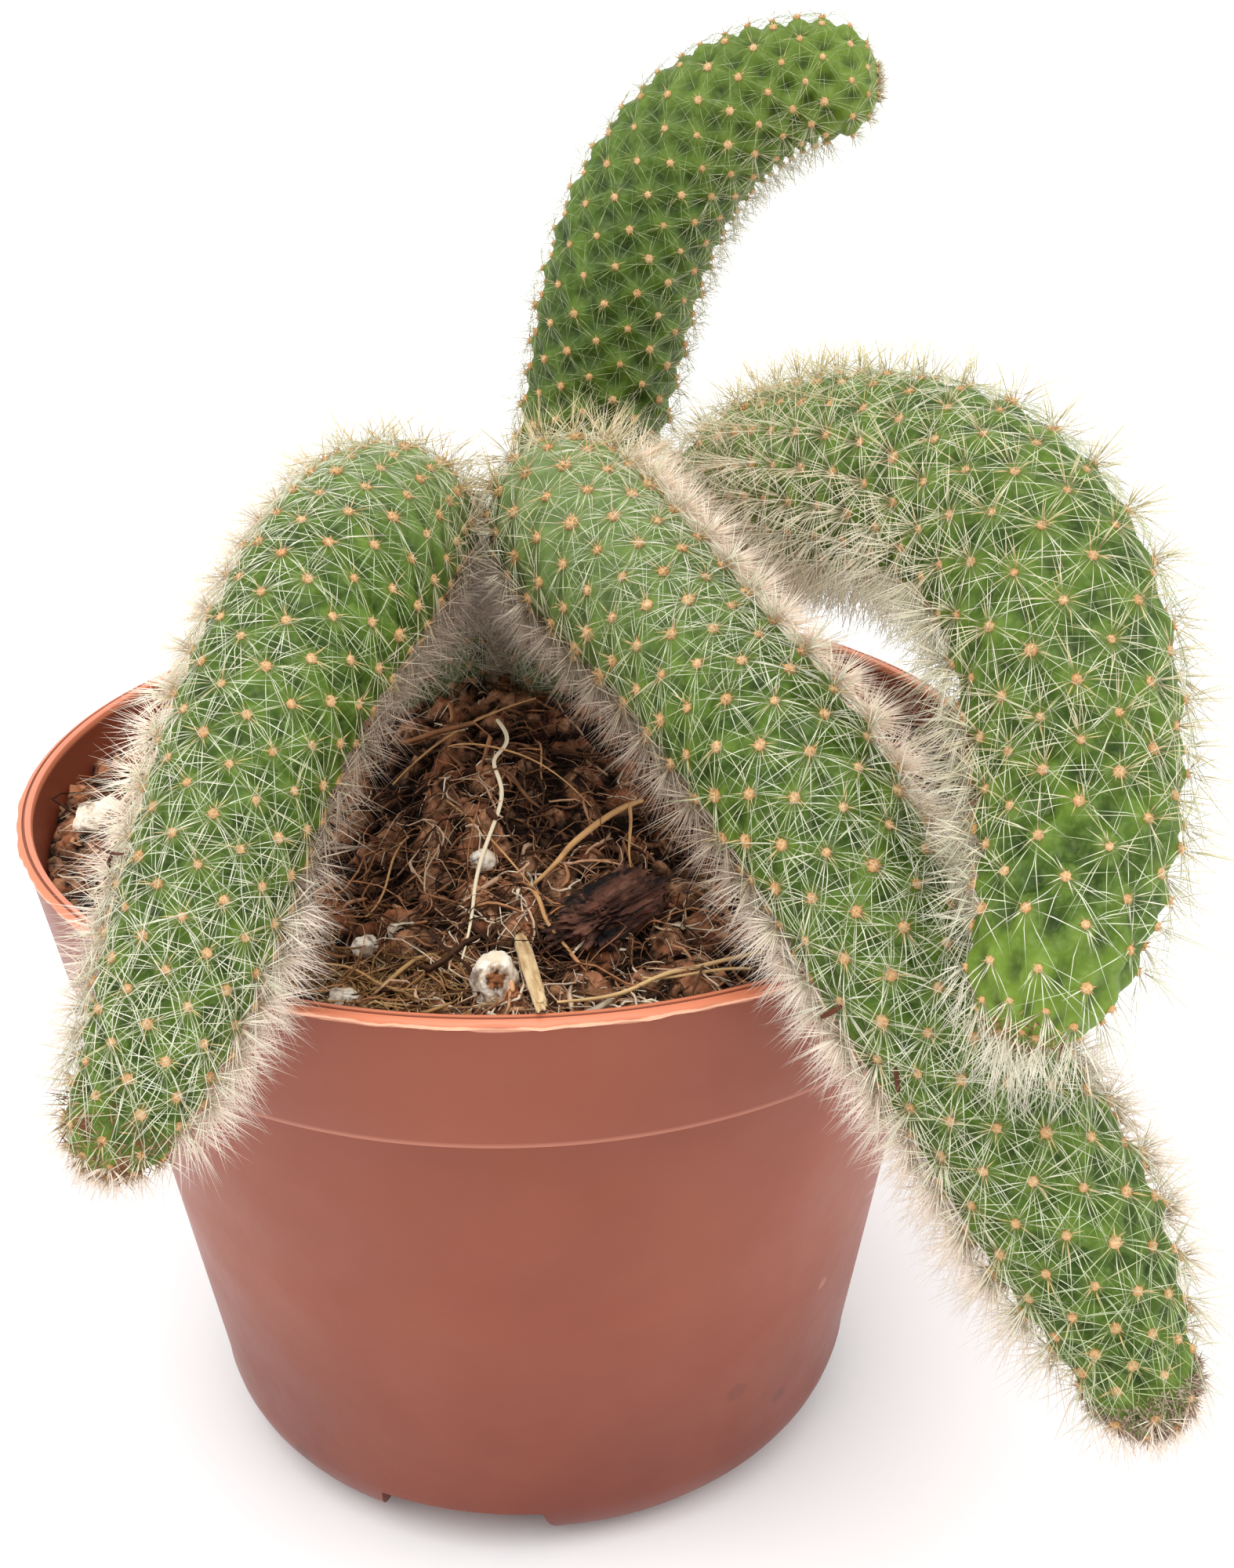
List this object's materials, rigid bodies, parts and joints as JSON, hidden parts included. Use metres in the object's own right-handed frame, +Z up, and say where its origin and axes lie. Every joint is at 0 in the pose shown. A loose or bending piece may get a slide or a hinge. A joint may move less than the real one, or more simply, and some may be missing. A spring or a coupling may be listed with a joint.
{
  "type": "potted monkey tail cactus",
  "caption": "Monkey tail cactus with arching, hairy, ribbed stems spilling over the rim of a round terracotta-coloured plastic nursery pot filled with mounded soil.",
  "frame": {"origin": "centre of the pot's base, on the surface that the pot stands on", "axes": "+Z up along the pot's axis; the stems hang over the front rim, towards -Y; +X to the right seen from the front"},
  "size_m": [0.1175, 0.1298, 0.1564],
  "materials": {
    "pot_plastic": "satin moulded terracotta-coloured polypropylene, faint flow marks and specks",
    "soil": "rough coir and peat potting soil, dark brown with rusty fibres",
    "stem": "green cactus skin with tan woolly areoles and fine white to straw-yellow spines",
    "perlite": "dull white porous lump with soil stains",
    "bark": "dark furrowed bark",
    "straw": "dry straw-coloured wood fibre"
  },
  "bodies": {
    "root": {"pot": "pot_plastic", "soil": "soil", "stem_left": "stem", "stem_middle": "stem", "stem_right": "stem", "stem_back": "stem", "perlite_1": "perlite", "perlite_2": "perlite", "perlite_3": "perlite", "perlite_4": "perlite", "bark_chip": "bark", "straw_chip": "straw"}
  },
  "joints": []
}
